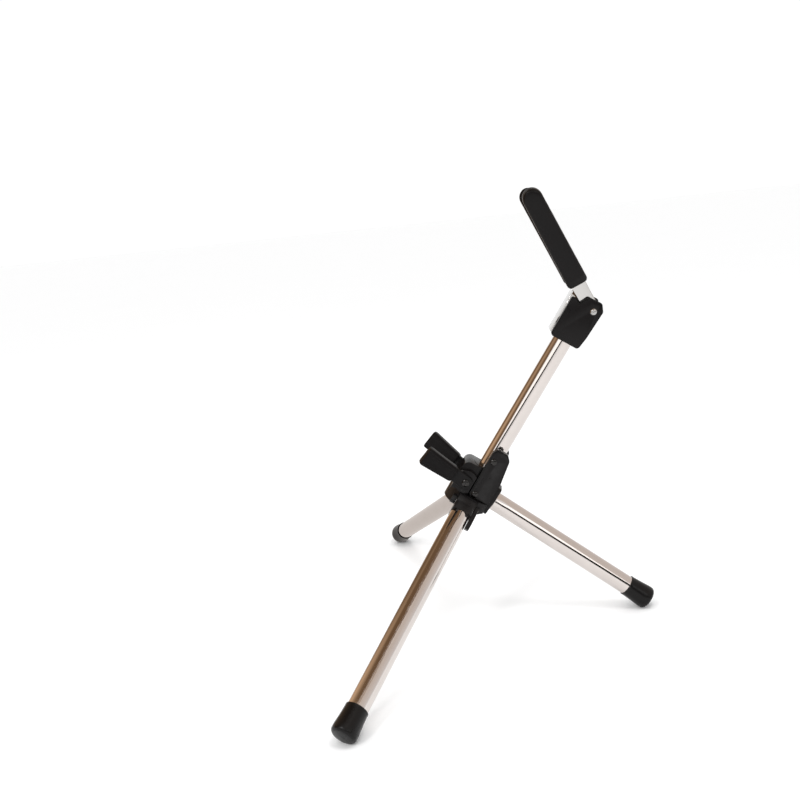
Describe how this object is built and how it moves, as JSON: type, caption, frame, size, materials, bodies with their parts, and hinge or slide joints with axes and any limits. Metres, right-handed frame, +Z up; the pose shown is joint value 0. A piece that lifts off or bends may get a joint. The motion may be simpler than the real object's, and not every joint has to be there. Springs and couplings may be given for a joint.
{
  "type": "saxophone stand",
  "caption": "Folding floor stand for a saxophone: hinged tube legs on a hub, a leaning post with a padded yoke below and padded prongs at the top.",
  "frame": {"origin": "middle of the stand's footprint box, on the floor", "axes": "+Z up, -X to the front where the instrument rests, -Y to the stand's left side; the XZ plane is the mirror plane"},
  "size_m": [0.2008, 0.3294, 0.292],
  "materials": {
    "chrome_tube": "polished chrome plated steel tube",
    "chrome_strip": "bright plated steel strip",
    "black_plastic": "moulded, satin gloss",
    "black_steel": "black lacquer",
    "foot_rubber": "smooth moulded rubber",
    "pad_rubber": "ridged matte rubber",
    "sleeve_rubber": "matte rubber sleeve",
    "dark_rivet": "blackened steel",
    "bright_rivet": "bright steel"
  },
  "bodies": {
    "post_and_hub": {"post_tube": "chrome_tube", "post_end_plug": "black_plastic", "hub_core": "black_plastic", "hub_cover_left": "black_plastic", "hub_cover_right": "black_plastic", "post_rivet": "dark_rivet", "rear_leg_pin": "dark_rivet", "front_leg_pin_left": "bright_rivet", "front_leg_pin_right": "bright_rivet", "yoke_pin": "dark_rivet", "bracket_core": "black_plastic", "bracket_channel": "chrome_strip", "bracket_pin": "bright_rivet", "bracket_cover_left": "black_plastic", "bracket_cover_right": "black_plastic", "prong_rivet": "bright_rivet", "prong_washers": "bright_rivet"},
    "front_leg_left": {"leg_knuckle_front_left": "black_plastic", "leg_tube_front_left": "chrome_tube", "leg_foot_front_left": "foot_rubber"},
    "front_leg_right": {"leg_knuckle_front_right": "black_plastic", "leg_tube_front_right": "chrome_tube", "leg_foot_front_right": "foot_rubber"},
    "rear_leg": {"leg_knuckle_rear": "black_plastic", "leg_tube_rear": "chrome_tube", "leg_foot_rear": "foot_rubber"},
    "yoke_left": {"yoke_arm_left": "black_steel", "yoke_pad_left": "pad_rubber"},
    "yoke_right": {"yoke_arm_right": "black_steel", "yoke_pad_right": "pad_rubber"},
    "prong_left": {"prong_strip_left": "chrome_strip", "prong_sleeve_left": "sleeve_rubber"},
    "prong_right": {"prong_strip_right": "chrome_strip", "prong_sleeve_right": "sleeve_rubber"}
  },
  "joints": [
    {"name": "rear_leg_fold", "type": "hinge", "parent": "post_and_hub", "child": "rear_leg", "pos_m": [-0.0162, 0, 0.0935], "axis": [0, 1, 0], "range_deg": [0, 86]},
    {"name": "front_left_leg_fold", "type": "hinge", "parent": "post_and_hub", "child": "front_leg_left", "pos_m": [-0.02339, -0.0148, 0.08684], "axis": [0.8239, -0.0872, -0.5599], "range_deg": [0, 48]},
    {"name": "front_right_leg_fold", "type": "hinge", "parent": "post_and_hub", "child": "front_leg_right", "pos_m": [-0.02339, 0.0148, 0.08684], "axis": [-0.8239, -0.0872, 0.5599], "range_deg": [0, 48]},
    {"name": "yoke_left_fold", "type": "hinge", "parent": "post_and_hub", "child": "yoke_left", "pos_m": [-0.02136, 0, 0.10281], "axis": [0, 1, 0], "range_deg": [0, 65]},
    {"name": "yoke_right_fold", "type": "hinge", "parent": "post_and_hub", "child": "yoke_right", "pos_m": [-0.02136, 0, 0.10281], "axis": [0, 1, 0], "range_deg": [0, 65]},
    {"name": "prong_left_fold", "type": "hinge", "parent": "post_and_hub", "child": "prong_left", "pos_m": [0.07026, 0, 0.21005], "axis": [0, 1, 0], "range_deg": [0, 195]},
    {"name": "prong_right_fold", "type": "hinge", "parent": "post_and_hub", "child": "prong_right", "pos_m": [0.07026, 0, 0.21005], "axis": [0, 1, 0], "range_deg": [0, 195]}
  ]
}
